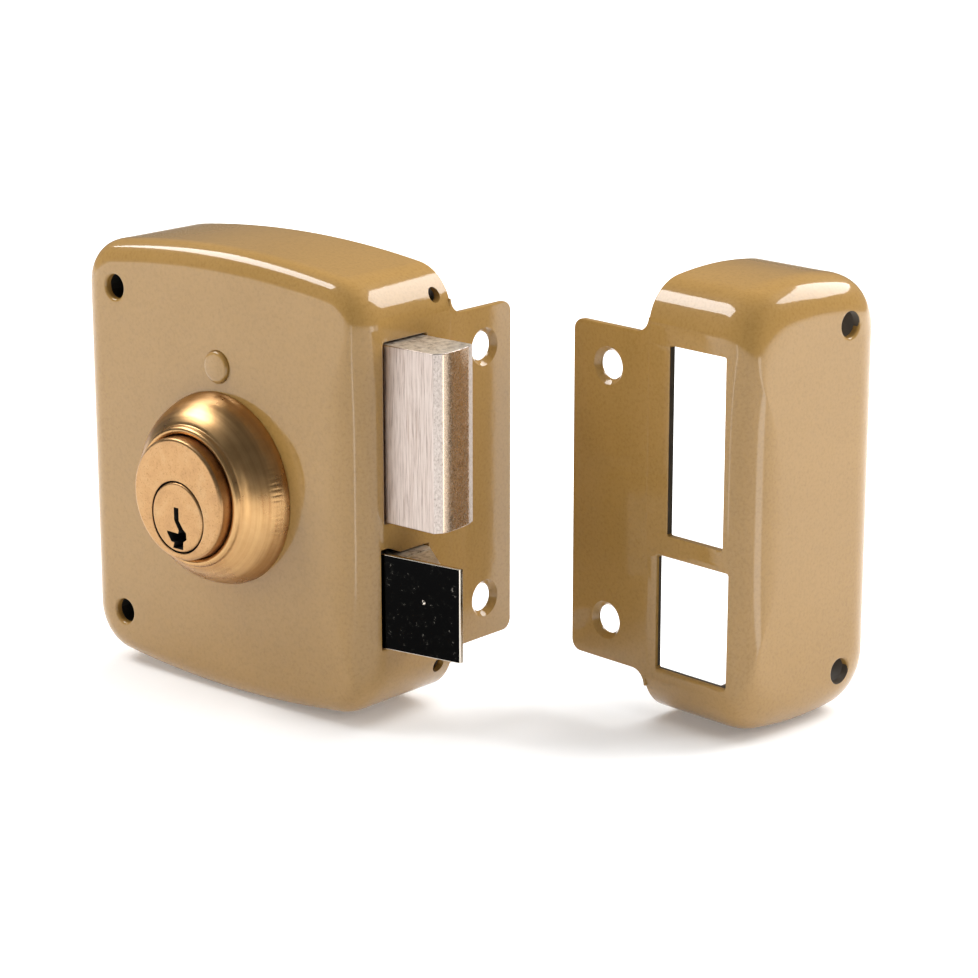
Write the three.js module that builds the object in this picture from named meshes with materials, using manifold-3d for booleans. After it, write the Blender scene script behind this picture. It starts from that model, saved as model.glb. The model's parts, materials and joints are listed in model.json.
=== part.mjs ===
// Rim night latch with its keep.
// Millimetres, +Z up. The lock stands with its front towards -Y and throws its bolts towards +X.
// In the lock's own frame x = 0 is the outer face of the bolt-side wall, y = 0 the plane that lies
// on the door. Both boxes reach down to z = FOOT. The keep has the same kind of frame.
// The exported group is shifted so that the origin is the bottom centre of the whole set.

import * as THREE from 'three';
import { mergeVertices } from 'three/addons/utils/BufferGeometryUtils.js';
import Module from 'manifold-3d';

const wasm = await Module();
wasm.setup();

// ---------------------------------------------------------------- driving dimensions

const SHEET = 1.5;                 // thickness of the drawn steel
const GAP = 0.3;                   // clearance between neighbouring pieces
const FOOT = -0.4;                 // lowest point of both boxes
const CORNER_RADIUS = 10;          // corners of both boxes, seen from the front
const BOLT_EDGE_DEPTH = 7;         // depth of the softer edge on the bolt side
const DISH_MIDDLE = 9.3;           // width of that edge at mid height, where it is dished
const DISH_END = 2;                // its width at the top and bottom
const DISH_RADIUS = 90;            // between them it falls off along an arc of this radius

// arch is the radius of the top and bottom edges, roll that of the front edge on the plain sides,
// and middle the height between the flange's two screw holes.
const LOCK = { width: 81.6, top: 95.4, depth: 27.25, arch: 240, roll: 4.8, middle: 47.5 };
const KEEP = { width: 41, top: 93.3, depth: 27.5, arch: 80, roll: 6.5, middle: 45.75 };
const KEEP_PLACE = { x: 36.2, y: 18.5, turn: 84.77 };

const FLANGE = { half: 35.8, lock: 18.6, keep: 20.8, corner: 2.4, fillet: 3.2 };
const FLANGE_HOLE = { spacing: 27.2, lockY: 10.2, keepY: 10.9, radius: 3, sink: 3.97 };
const FACE_HOLE = { radius: 2.83, spacing: 36 };

const CYLINDER = { x: -40.6, z: 44.9, radius: 12.95, proud: 12.4, rear: -11.2 };
const PLUG = { z: 41.1, radius: 7.37, bore: 7.62 };
const ROSETTE_RADIUS = 20.5;
const ROSETTE_BORE = 13.3;
const TAIL_BAR_HOLE = 7;           // radius of the opening for the outer cylinder's tail bar
const STUD = { offset: 19, radius: 1.9, hole: 2.2, end: -20.5 };
const NUT = { radius: 3.8, front: -23.1, back: -20.8 };
const BODY_LUG = { reach: 23, half: 4, thick: 2 };
const KEYWAY = [
  [-0.9, 2.1], [0.5, 2.1], [0.5, -0.6], [1.7, -2.2], [2.6, -2.9], [2.7, -4.3], [1.7, -5.0],
  [1.6, -6.7], [-1.4, -6.7], [-1.0, -5.5], [-1.9, -5.4], [-3.1, -3.7], [-3.1, -3.3],
  [0.2, -3.4], [0.4, -2.7], [-0.5, -1.3], [-0.9, -0.6],
];

const BOLT = { front: -20.1, back: -7.87, low: 43.4, high: 80.2, proud: 14.2, throw: 12.5 };
const LATCH = {
  front: -21.05, back: -8, low: 16.9, high: 37, proud: 18, travel: 17.5, tipFront: -18, droop: 0.4,
};
const WEDGE = { low: 17.2, high: 36 };   // the wedge is lower than the plate in front of it
const WINDOW_GAP = 0.45;           // play of each bolt in its window

const PILLAR = { x: -40.6, z: 70.8, radius: 3, head: 3.46, proud: 0.8 };
const SLEEVE = { x: -71.5, outer: 4.2, inner: 2.9 };

const GEAR = { teeth: 8, wheelTeeth: 16, pressure: 25, tooth: 0.6, root: 1.0, play: 0.3 };
const RACK_PITCH = BOLT.throw / 4; // four teeth of travel for each full turn of the key
const GEAR_MODULE = RACK_PITCH / Math.PI;
const PINION_RADIUS = GEAR_MODULE * GEAR.teeth / 2;
const WHEEL_RADIUS = GEAR_MODULE * GEAR.wheelTeeth / 2;
const AXLE_Z = PLUG.z + PINION_RADIUS + WHEEL_RADIUS;

const TAIL = { back: -5.57, thick: 2, left: -65, right: -14.6, top: 78.5 };
const TAIL_LUG = { left: -41.6, right: -38.6, front: -10.4, low: 60.5, high: 66.5 };
const LEVER = { x: -62, z: 84, back: -8.6, thick: 2, pinZ: 25, width: 8 };
const LATCH_TAIL = { back: -11.2, thick: 2, low: 20, high: 30.6, left: -60 };
const ROD = { y: -17.3, z: 25, radius: 1.8, end: -50 };
const SEAT = { x: -47.5, thick: 2, front: -22, fold: -13.6, foot: 9.5 };
const GUIDE = { left: -13, right: -2.2, front: -20.6, top: 84, bottom: 12.4 };
const GUIDE_GAP = 0.4;

// ---------------------------------------------------------------- materials

function finish(color, roughness, metalness) {
  return new THREE.MeshStandardMaterial({ color, roughness, metalness });
}

const enamel = () => finish(0xb49668, 0.3, 0.2);
const brass = () => finish(0xc9a55e, 0.28, 1);
const nickel = () => finish(0xcfc6c0, 0.35, 1);
const mirror = () => finish(0x8d8984, 0.06, 1);
const zinc = () => finish(0xa9adb0, 0.45, 0.9);
const springSteel = () => finish(0x7b7f84, 0.35, 1);

// ---------------------------------------------------------------- geometry helpers

function solid(geometry) {
  const plain = geometry.clone();
  plain.deleteAttribute('normal');
  plain.deleteAttribute('uv');
  const merged = mergeVertices(plain, 1e-4);
  return new wasm.Manifold(new wasm.Mesh({
    numProp: 3,
    vertProperties: new Float32Array(merged.attributes.position.array),
    triVerts: new Uint32Array(merged.index.array),
  }));
}

function geometryOf(body) {
  const mesh = body.getMesh();
  const geometry = new THREE.BufferGeometry();
  geometry.setAttribute('position', new THREE.BufferAttribute(new Float32Array(mesh.vertProperties), 3));
  geometry.setIndex(new THREE.BufferAttribute(new Uint32Array(mesh.triVerts), 1));
  geometry.computeVertexNormals();
  return geometry;
}

function join(...geometries) {
  return geometryOf(geometries.map(solid).reduce((sum, next) => sum.add(next)));
}

function cut(geometry, ...tools) {
  return geometryOf(tools.map(solid).reduce((rest, tool) => rest.subtract(tool), solid(geometry)));
}

function box(x0, x1, y0, y1, z0, z1) {
  const geometry = new THREE.BoxGeometry(x1 - x0, y1 - y0, z1 - z0);
  return geometry.translate((x0 + x1) / 2, (y0 + y1) / 2, (z0 + z1) / 2);
}

function rodY(x, z, radius, y0, y1, sides = 16) {
  const geometry = new THREE.CylinderGeometry(radius, radius, y1 - y0, sides);
  return geometry.translate(x, (y0 + y1) / 2, z);
}

function rodX(y, z, radius, x0, x1, sides = 16) {
  const geometry = new THREE.CylinderGeometry(radius, radius, x1 - x0, sides).rotateZ(Math.PI / 2);
  return geometry.translate((x0 + x1) / 2, y, z);
}

function rodZ(x, y, radius, z0, z1, sides = 8) {
  const geometry = new THREE.CylinderGeometry(radius, radius, z1 - z0, sides).rotateX(Math.PI / 2);
  return geometry.translate(x, y, (z0 + z1) / 2);
}

// A turned piece about a line parallel to Y. Profile points are [radius, y], in either direction.
function turned(x, z, profile, sides = 36) {
  const points = profile.map(([radius, y]) => new THREE.Vector2(radius, y));
  if (THREE.ShapeUtils.area(points) < 0) points.reverse();
  return new THREE.LatheGeometry(points, sides).translate(x, 0, z);
}

function shapeOf(points) {
  return new THREE.Shape(points.map(([u, v]) => new THREE.Vector2(u, v)));
}

function prism(shape, depth) {
  return new THREE.ExtrudeGeometry(shape, { depth, bevelEnabled: false, curveSegments: 6 });
}

// Shape drawn in (x, z), filling y0..y1.
function plateY(shape, y0, y1) {
  return prism(shape, y1 - y0).rotateX(Math.PI / 2).translate(0, y1, 0);
}

// Shape drawn in (x, y), filling z0..z1.
function plateZ(shape, z0, z1) {
  return prism(shape, z1 - z0).translate(0, 0, z0);
}

// Shape drawn in (y, z), filling x0..x1.
function plateX(shape, x0, x1) {
  const turn = new THREE.Matrix4().makeBasis(
    new THREE.Vector3(0, 1, 0), new THREE.Vector3(0, 0, 1), new THREE.Vector3(1, 0, 0));
  return prism(shape, x1 - x0).applyMatrix4(turn).translate(x0, 0, 0);
}

function mirrorX(geometry) {
  const mirrored = geometry.clone().scale(-1, 1, 1);
  const index = mirrored.index.array;
  for (let i = 0; i < index.length; i += 3) {
    [index[i + 1], index[i + 2]] = [index[i + 2], index[i + 1]];
  }
  return mirrored;
}

// ---------------------------------------------------------------- drawn steel boxes

// Points of the front outline, anticlockwise from the middle of the bolt side, which is at x = 0.
// Each has its outward normal, and says how far round the bolt side it lies (1 on it, 0 off it).
function boxOutline({ width, top, arch }) {
  const halfW = width / 2;
  const halfH = (top - FOOT) / 2;
  const archZ = halfH - arch;
  const reach = arch - CORNER_RADIUS;
  const cornerX = halfW - CORNER_RADIUS;
  const cornerZ = archZ + Math.sqrt(reach ** 2 - cornerX ** 2);
  const archAngle = Math.asin(cornerX / reach);
  const quarter = [];
  const sideSteps = 4;
  const cornerSteps = 4;
  const archSteps = 4;
  for (let i = 0; i < sideSteps; i += 1) {
    quarter.push({ x: halfW, z: cornerZ * i / sideSteps, nx: 1, nz: 0, side: 1 });
  }
  for (let i = 0; i < cornerSteps; i += 1) {
    const t = (Math.PI / 2 - archAngle) * i / cornerSteps;
    const n = { nx: Math.cos(t), nz: Math.sin(t) };
    const side = 1 - THREE.MathUtils.smoothstep(i / cornerSteps, 0, 1);
    quarter.push({ x: cornerX + CORNER_RADIUS * n.nx, z: cornerZ + CORNER_RADIUS * n.nz, ...n, side });
  }
  for (let i = 0; i < archSteps; i += 1) {
    const t = archAngle * (1 - i / archSteps);
    const n = { nx: Math.sin(t), nz: Math.cos(t) };
    quarter.push({ x: arch * n.nx, z: archZ + arch * n.nz, ...n, side: 0 });
  }
  const crest = { x: 0, z: halfH, nx: 0, nz: 1, side: 0 };
  const left = quarter.slice().reverse().map((p) => ({ ...p, x: -p.x, nx: -p.nx, side: 0 }));
  const upper = [...quarter, crest, ...left];
  const lower = upper.slice(1, -1).reverse().map((p) => ({ ...p, z: -p.z, nz: -p.nz }));
  return [...upper, ...lower].map((p) => ({ ...p, x: p.x - halfW, z: p.z + halfH + FOOT, mid: p.z }));
}

// Width of the rolled edge at an outline point, on the front face.
function edgeWidth(p, roll) {
  const dish = Math.max(DISH_END, DISH_MIDDLE - (p.mid ** 2) / (2 * DISH_RADIUS));
  return THREE.MathUtils.lerp(roll, dish, p.side);
}

function edgeDepth(p, roll) {
  return THREE.MathUtils.lerp(roll, BOLT_EDGE_DEPTH, p.side);
}

// An open-backed box pressed from sheet, built ring by ring from its back rim to its front face.
function drawnBox(size) {
  const { width, top, depth, roll } = size;
  const outline = boxOutline(size);
  const rollSteps = 3;
  const skin = (inset) => {
    const list = [outline.map((p) => [p.x - p.nx * inset, 0, p.z - p.nz * inset])];
    for (let i = 0; i <= rollSteps; i += 1) {
      const u = (Math.PI / 2) * i / rollSteps;
      list.push(outline.map((p) => {
        const side = inset + (edgeWidth(p, roll) - inset) * (1 - Math.cos(u));
        const y = -depth + inset + (edgeDepth(p, roll) - inset) * (1 - Math.sin(u));
        return [p.x - p.nx * side, y, p.z - p.nz * side];
      }));
    }
    return list;
  };
  const rings = [...skin(SHEET).reverse(), ...skin(0)];
  const count = outline.length;
  const positions = rings.flat(2);
  const index = [];
  for (let ring = 0; ring + 1 < rings.length; ring += 1) {
    for (let i = 0; i < count; i += 1) {
      const a = ring * count + i;
      const b = ring * count + (i + 1) % count;
      index.push(a, b, a + count, b, b + count, a + count);
    }
  }
  const addFace = (ring, flip) => {
    const centre = positions.length / 3;
    positions.push(-width / 2, rings[ring][0][1], (top + FOOT) / 2);
    for (let i = 0; i < count; i += 1) {
      const a = ring * count + i;
      const b = ring * count + (i + 1) % count;
      index.push(...(flip ? [centre, b, a] : [centre, a, b]));
    }
  };
  addFace(0, true);
  addFace(rings.length - 1, false);
  const geometry = new THREE.BufferGeometry();
  geometry.setAttribute('position', new THREE.Float32BufferAttribute(positions, 3));
  geometry.setIndex(index);
  return geometry;
}

// Flange that continues the bolt-side wall past the back plane, drawn in (y, z).
function flangeShape(length, middle) {
  const { half, corner, fillet } = FLANGE;
  const shape = new THREE.Shape();
  const root = -0.5;
  shape.moveTo(root, middle - half - fillet);
  shape.lineTo(0, middle - half - fillet);
  shape.absarc(fillet, middle - half - fillet, fillet, Math.PI, Math.PI / 2, true);
  shape.lineTo(length - corner, middle - half);
  shape.absarc(length - corner, middle - half + corner, corner, -Math.PI / 2, 0, false);
  shape.lineTo(length, middle + half - corner);
  shape.absarc(length - corner, middle + half - corner, corner, 0, Math.PI / 2, false);
  shape.lineTo(fillet, middle + half);
  shape.absarc(fillet, middle + half + fillet, fillet, -Math.PI / 2, -Math.PI, true);
  shape.lineTo(root, middle + half + fillet);
  return shape;
}

// Countersunk screw hole through the flange, opening towards +X.
function flangeHole(y, z) {
  const { radius, sink } = FLANGE_HOLE;
  const cone = new THREE.CylinderGeometry(sink + 1, radius, sink + 1 - radius, 20).rotateZ(-Math.PI / 2);
  return join(rodX(y, z, radius, -SHEET - 1, 1, 20), cone.translate(1 - (sink + 1 - radius) / 2, y, z));
}

function flangedBox(size, length, holeY) {
  const { middle } = size;
  const flange = plateX(flangeShape(length, middle), -SHEET, 0);
  const holes = [-1, 1].map((s) => flangeHole(holeY, middle + s * FLANGE_HOLE.spacing));
  return cut(join(drawnBox(size), flange), ...holes);
}

function faceHoles(x, middle, spacing, depth) {
  return [-1, 1].map((s) => rodY(x, middle + s * spacing, FACE_HOLE.radius, -depth - 1, -depth + 4));
}

function wallWindow(y0, y1, z0, z1) {
  return box(-SHEET - 1.5, 1, y0, y1, z0, z1);
}

// ---------------------------------------------------------------- lock case

const EAR = { y: -4.15, z: [8.9, 87.7], hole: 1.7, half: 1.6, screw: 1, thick: 1.5, reach: 6.5 };

// Window of the latch, drawn in (y, z): taller at its front, where the face plate passes.
function latchWindow() {
  const front = LATCH.front - 0.9;
  const back = LATCH.back + 0.8;
  const low = LATCH.low - GAP;
  const high = WEDGE.high + GAP;
  return shapeOf([
    [front, low], [back, low], [back, high], [-15.9, high], [-19.4, LATCH.high + 0.8],
    [front, LATCH.high + 0.8],
  ]);
}

function caseCover() {
  const tools = [
    ...faceHoles(SLEEVE.x, LOCK.middle, FACE_HOLE.spacing, LOCK.depth),
    rodY(CYLINDER.x, CYLINDER.z, CYLINDER.radius + GAP, -LOCK.depth - 1, -LOCK.depth + 3, 36),
    rodY(PILLAR.x, PILLAR.z, PILLAR.radius - 0.5, -LOCK.depth - 1, -LOCK.depth + 3),
    wallWindow(BOLT.front - WINDOW_GAP, BOLT.back + WINDOW_GAP,
      BOLT.low - WINDOW_GAP, BOLT.high + WINDOW_GAP),
    plateX(latchWindow(), -SHEET - 1.5, 1),
    ...EAR.z.map((z) => rodX(EAR.y, z, EAR.hole, -5, 2, 10)),
  ];
  return cut(flangedBox(LOCK, FLANGE.lock, FLANGE_HOLE.lockY), ...tools);
}

function backPlate() {
  const inset = SHEET + GAP;
  const points = boxOutline(LOCK).map((p) => [p.x - p.nx * inset, p.z - p.nz * inset]);
  const plate = plateY(shapeOf(points), -SHEET, 0);
  const earX = -inset - 2.7;
  const ears = EAR.z.map((z) => (
    box(earX - EAR.thick, earX, -EAR.reach, -0.5, z - EAR.half, z + EAR.half)));
  const earHoles = EAR.z.map((z) => rodX(EAR.y, z, EAR.screw, -8, -1, 8));
  const screwHoles = [-1, 1].map((s) => (
    rodY(SLEEVE.x, LOCK.middle + s * FACE_HOLE.spacing, SLEEVE.inner, -3, 1)));
  const sink = new THREE.CylinderGeometry(4.2, 1.1, 3.1, 16).translate(PILLAR.x, -0.55, PILLAR.z);
  return cut(join(plate, ...ears), ...earHoles, ...screwHoles, sink,
    rodY(CYLINDER.x, PLUG.z, TAIL_BAR_HOLE, -3, 1), rodY(CYLINDER.x, AXLE_Z, 1.9, -3, 1),
    rodY(LEVER.x, LEVER.z, 1.9, -3, 1));
}

function screwSleeve(sign) {
  const z = LOCK.middle + sign * FACE_HOLE.spacing;
  const front = -LOCK.depth + SHEET + GAP;
  const back = -SHEET - GAP;
  return turned(SLEEVE.x, z, [
    [SLEEVE.inner, front], [SLEEVE.outer, front], [SLEEVE.outer, back], [SLEEVE.inner, back],
    [SLEEVE.inner, front],
  ], 16);
}

// Post between the cover and the back plate; its riveted head shows on the front.
function pillar() {
  const front = -LOCK.depth;
  const inner = front + SHEET + GAP;
  const back = -SHEET - GAP;
  const neck = PILLAR.radius - 0.5 - GAP;
  return turned(PILLAR.x, PILLAR.z, [
    [0, front - PILLAR.proud], [PILLAR.head - 0.5, front - PILLAR.proud],
    [PILLAR.head, front - PILLAR.proud + 0.4], [PILLAR.head, front - GAP / 3],
    [neck, front - GAP / 3], [neck, inner], [PILLAR.radius, inner],
    [PILLAR.radius, back], [1.7, back], [1.7, back - 8], [0, back - 8],
  ], 20);
}

// Countersunk screw from the back plate into the pillar.
function pillarScrew() {
  return turned(PILLAR.x, PILLAR.z, [
    [0, -0.1], [2.9, -0.1], [1.4, -1.5], [1.4, -8], [0, -8.6],
  ], 16);
}

// Cylinder-shaped post riveted into the back plate, with a wider shoulder in front of it.
function rivetedPost(x, z, radius, front) {
  const back = -SHEET - GAP;
  return turned(x, z, [
    [0, front], [radius, front], [radius, back], [1.6, back], [1.6, 0], [0, 0],
  ], 16);
}

function guideBlock(z0, z1) {
  return box(GUIDE.left, GUIDE.right, GUIDE.front, -SHEET - GAP, z0, z1);
}

function weldStud(sign) {
  const front = -LOCK.depth + SHEET + 0.1;
  return rodY(CYLINDER.x + sign * STUD.offset, CYLINDER.z, STUD.radius, front, STUD.end);
}

function nut(sign) {
  const x = CYLINDER.x + sign * STUD.offset;
  return cut(rodY(x, CYLINDER.z, NUT.radius, NUT.front, NUT.back, 6),
    rodY(x, CYLINDER.z, STUD.hole, NUT.front - 1, NUT.back + 1));
}

// ---------------------------------------------------------------- cylinder

const FACE_Y = -LOCK.depth - CYLINDER.proud;
const CHAMBERS = [0, 1, 2, 3, 4].map((i) => -35 + 4.3 * i);
const CHAMBER_RADIUS = 1.45;
const PIN_RADIUS = 1.2;
const SHEAR_Z = PLUG.z + PLUG.radius;

function rosette() {
  const h = (height) => -LOCK.depth - GAP / 3 - height;
  return turned(CYLINDER.x, CYLINDER.z, [
    [ROSETTE_BORE, h(0)], [ROSETTE_BORE, h(9.2)], [13.9, h(9.7)], [14.6, h(9.4)], [15, h(8.7)],
    [17.1, h(6.9)], [18.9, h(4.6)], [20, h(2.2)], [ROSETTE_RADIUS, h(0)], [ROSETTE_BORE, h(0)],
  ]);
}

function cylinderBody() {
  const r = CYLINDER.radius;
  const lugFront = -LOCK.depth + SHEET + GAP;
  const barrel = turned(CYLINDER.x, CYLINDER.z, [
    [0, FACE_Y], [r - 0.7, FACE_Y], [r, FACE_Y + 0.7], [r, CYLINDER.rear], [0, CYLINDER.rear],
  ]);
  const { reach, half, thick } = BODY_LUG;
  const lug = box(CYLINDER.x - reach, CYLINDER.x + reach, lugFront, lugFront + thick,
    CYLINDER.z - half, CYLINDER.z + half);
  const studHoles = [-1, 1].map((s) => (
    rodY(CYLINDER.x + s * STUD.offset, CYLINDER.z, STUD.hole, lugFront - 1, lugFront + thick + 1)));
  const chambers = CHAMBERS.map((y) => rodZ(CYLINDER.x, y, CHAMBER_RADIUS, PLUG.z, 56.6));
  const bore = rodY(CYLINDER.x, PLUG.z, PLUG.bore, FACE_Y - 1, CYLINDER.rear + 1, 36);
  return cut(join(barrel, lug), bore, ...studHoles, ...chambers);
}

function cylinderPlug() {
  const neck = CYLINDER.rear + GAP;
  const body = turned(CYLINDER.x, PLUG.z, [
    [0, FACE_Y - 0.1], [PLUG.radius - 0.3, FACE_Y - 0.1], [PLUG.radius, FACE_Y + 0.2], [PLUG.radius, neck],
    [5, neck], [5, neck + 1.2], [2.5, neck + 1.2], [2.5, -2], [0, -2],
  ]);
  const slot = shapeOf(KEYWAY.map(([x, z]) => [CYLINDER.x + x, PLUG.z + z]));
  const chambers = CHAMBERS.map((y) => rodZ(CYLINDER.x, y, CHAMBER_RADIUS, PLUG.z + 1.5, SHEAR_Z + 1));
  return cut(body, plateY(slot, FACE_Y - 1, CYLINDER.rear - 2), ...chambers);
}

function retainingClip() {
  const y = CYLINDER.rear + 0.5;
  return turned(CYLINDER.x, PLUG.z, [[5.3, y], [8.8, y], [8.8, y + 0.7], [5.3, y + 0.7], [5.3, y]], 24);
}

function keyPin(y) {
  const top = SHEAR_Z - 0.35;
  const profile = [[0, 43.3], [0.5, 43.3], [PIN_RADIUS, 44.2], [PIN_RADIUS, top], [0, top]];
  const points = profile.map(([radius, z]) => new THREE.Vector2(radius, z));
  return new THREE.LatheGeometry(points, 12).rotateX(Math.PI / 2).translate(CYLINDER.x, y, 0);
}

function driverPin(y) {
  return rodZ(CYLINDER.x, y, PIN_RADIUS, PLUG.z + PLUG.bore + 0.1, 52.4);
}

class Helix extends THREE.Curve {
  constructor(start, along, radius, length, turns) {
    super();
    Object.assign(this, { start, along, radius, length, turns });
  }

  getPoint(t, target = new THREE.Vector3()) {
    const angle = 2 * Math.PI * this.turns * t;
    const u = this.radius * Math.cos(angle);
    const v = this.radius * Math.sin(angle);
    const w = this.length * t;
    const offset = this.along === 'x' ? [w, u, v] : [u, v, w];
    return target.fromArray(offset).add(this.start);
  }
}

function coil(start, along, radius, length, turns, wire, stepsPerTurn = 8) {
  const path = new Helix(start, along, radius, length, turns);
  const ring = Array.from({ length: 4 }, (_, i) => {
    const a = Math.PI * i / 2;
    return [wire * Math.cos(a), wire * Math.sin(a)];
  });
  const steps = Math.round(turns * stepsPerTurn);
  return new THREE.ExtrudeGeometry(shapeOf(ring), { extrudePath: path, steps, bevelEnabled: false });
}

function pinSpring(y) {
  return coil(new THREE.Vector3(CYLINDER.x, y, 52.8), 'z', 0.95, 3.3, 3.5, 0.22, 6);
}

// ---------------------------------------------------------------- gear train

// Involute spur gear in (x, z) about (x, z), with a tooth centred on the given angle.
function gearShape(x, z, teeth, startAngle) {
  const pitch = GEAR_MODULE * teeth / 2;
  const pressure = THREE.MathUtils.degToRad(GEAR.pressure);
  const base = pitch * Math.cos(pressure);
  const involute = (r) => {
    const a = Math.acos(Math.min(1, base / r));
    return Math.tan(a) - a;
  };
  const halfTooth = Math.PI / (2 * teeth) - GEAR.play / (4 * pitch) + involute(pitch);
  const tip = pitch + GEAR.tooth;
  const root = pitch - GEAR.root;
  const radii = [root, Math.max(base, root + 0.1), pitch, tip];
  const points = [];
  for (let i = 0; i < teeth; i += 1) {
    const middle = startAngle + 2 * Math.PI * i / teeth;
    const flank = (r, sign) => {
      const a = middle + sign * (halfTooth - involute(Math.max(r, base)));
      return [x + r * Math.cos(a), z + r * Math.sin(a)];
    };
    points.push(...radii.map((r) => flank(r, -1)), ...radii.slice().reverse().map((r) => flank(r, 1)));
  }
  return shapeOf(points);
}

function plugPinion() {
  const gear = plateY(gearShape(CYLINDER.x, PLUG.z, GEAR.teeth, Math.PI / 2), -4.9, -2.9);
  return cut(gear, rodY(CYLINDER.x, PLUG.z, 2.75, -6, -1));
}

function reductionGear() {
  const wheelStart = -Math.PI / 2 + Math.PI / GEAR.wheelTeeth;
  const wheel = plateY(gearShape(CYLINDER.x, AXLE_Z, GEAR.wheelTeeth, wheelStart), -4.9, -2.9);
  const pinion = plateY(gearShape(CYLINDER.x, AXLE_Z, GEAR.teeth, Math.PI / 2), -7.3, -5.8);
  return cut(join(wheel, pinion, rodY(CYLINDER.x, AXLE_Z, 2.7, -6, -4.5)),
    rodY(CYLINDER.x, AXLE_Z, 1.65, -9, -1));
}

function gearAxle() {
  return turned(CYLINDER.x, AXLE_Z, [
    [0, -8.3], [2.4, -8.3], [2.4, -7.6], [1.5, -7.6], [1.5, 0], [0, 0],
  ], 16);
}

// ---------------------------------------------------------------- dead bolt

const NECK_Z = 59;                 // above this height the bolt reaches further into the case
const BOLT_INNER = { low: -14.5, high: -24.5 };
const RIVET = { x: -19.5, z: [64, 75], radius: 1.7 };

function deadBoltHead() {
  const { front, back, proud } = BOLT;
  const profile = shapeOf([
    [BOLT_INNER.low, front], [proud - 1.3, front], [proud - 0.15, front + 1.7], [proud, front + 3.6],
    [proud - 0.35, back - 4.4], [proud - 0.8, back - 2], [proud - 1.6, back], [BOLT_INNER.low, back],
  ]);
  const head = join(plateZ(profile, BOLT.low, BOLT.high),
    box(BOLT_INNER.high, 0, front, back, NECK_Z, BOLT.high));
  return cut(head, ...RIVET.z.map((z) => rodY(RIVET.x, z, RIVET.radius + GAP, back - 6, back + 1, 16)));
}

function rackTeeth() {
  const pitchZ = AXLE_Z + PINION_RADIUS;
  const slope = Math.tan(THREE.MathUtils.degToRad(GEAR.pressure));
  const half = RACK_PITCH / 4 - GEAR.play / 4;
  const tip = pitchZ - GEAR.tooth;
  const root = pitchZ + GEAR.root;
  const teeth = [];
  for (let i = -6; i <= 5; i += 1) {
    const x = CYLINDER.x + (i + 0.5) * RACK_PITCH;
    teeth.push([x - half - slope * GEAR.root, root], [x - half + slope * GEAR.tooth, tip],
      [x + half - slope * GEAR.tooth, tip], [x + half + slope * GEAR.root, root]);
  }
  return teeth;
}

function boltTailPlate() {
  const { back, thick, left, right, top } = TAIL;
  const root = AXLE_Z + PINION_RADIUS + GEAR.root;
  const outline = [[left, root], ...rackTeeth(), [right, root], [right, top], [left, top]];
  const plate = plateY(shapeOf(outline), back - thick, back);
  const slotHalf = PILLAR.radius + GAP;
  const slot = new THREE.Shape();
  slot.absarc(PILLAR.x + BOLT.throw, PILLAR.z, slotHalf, -Math.PI / 2, Math.PI / 2, false);
  slot.absarc(PILLAR.x - BOLT.throw, PILLAR.z, slotHalf, Math.PI / 2, 3 * Math.PI / 2, false);
  const lug = box(TAIL_LUG.left, TAIL_LUG.right, TAIL_LUG.front, back - 0.5, TAIL_LUG.low, TAIL_LUG.high);
  return cut(join(plate, lug), plateY(slot, -9, -4),
    ...RIVET.z.map((z) => rodY(RIVET.x, z, RIVET.radius + GAP, -9, -4, 16)));
}

function tailRivet(z) {
  return turned(RIVET.x, z, [
    [0, BOLT.back - 5.7], [RIVET.radius, BOLT.back - 5.7], [RIVET.radius, TAIL.back + GAP],
    [3, TAIL.back + GAP], [2.4, TAIL.back + 1], [0, TAIL.back + 1],
  ], 12);
}

// ---------------------------------------------------------------- latch

// Wedge behind the bright face plate, drawn in (x, y).
function latchHead() {
  const face = 1 + GAP;
  const wedge = shapeOf([
    [-12, LATCH.front + face], [0.4, LATCH.front + face], [13.2, LATCH.front + face + 2.2],
    [0.8, LATCH.back], [-12, LATCH.back],
  ]);
  return join(plateZ(wedge, WEDGE.low, WEDGE.high), rodX(ROD.y, ROD.z, ROD.radius, ROD.end, -11));
}

// Bright plate in front of the wedge; its top edge droops towards the tip.
function latchFacePlate() {
  const { front, proud, tipFront, low, high, droop } = LATCH;
  const plate = shapeOf([
    [-8, front], [0.4, front], [proud, tipFront], [proud, tipFront + 1], [0.4, front + 1], [-8, front + 1],
  ]);
  const tip = proud + 1;
  const above = shapeOf([[0.4, high], [proud, high - droop], [tip, high - droop], [tip, high + 1]]);
  return cut(plateZ(plate, low, high), plateY(above, front - 1, tipFront + 2));
}

function latchTail() {
  const { back, thick, low, high, left } = LATCH_TAIL;
  const plate = box(left, -12 - GAP, back - thick, back, low, high);
  const foot = box(-16, -12 - GAP, back - thick, LATCH.back, low, high);
  const pinX = LEVER.x + LATCH.travel / 2;
  const slot = box(pinX - 2.4, pinX + 2.4, back - 4, back + 1, LEVER.pinZ - 3, LEVER.pinZ + 2.4);
  return cut(join(plate, foot), slot);
}

function latchSpring() {
  const left = SEAT.x + SEAT.thick + GAP + 0.45;
  const right = -12 - GAP - 0.45;
  return coil(new THREE.Vector3(left, ROD.y, ROD.z), 'x', 2.85, right - left, 8, 0.4);
}

function springSeat() {
  const { x, thick, front, fold, foot } = SEAT;
  const back = -SHEET - GAP;
  const step = LATCH_TAIL.low - 0.6;
  const top = LATCH_TAIL.high;
  const shape = shapeOf([
    [front, foot], [back, foot], [back, step], [fold, step], [fold, top], [front, top],
  ]);
  return cut(plateX(shape, x, x + thick), rodX(ROD.y, ROD.z, ROD.radius + 0.5, x - 1, x + thick + 1));
}

function leverLength() {
  return Math.hypot(LEVER.z - LEVER.pinZ, LATCH.travel / 2);
}

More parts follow.
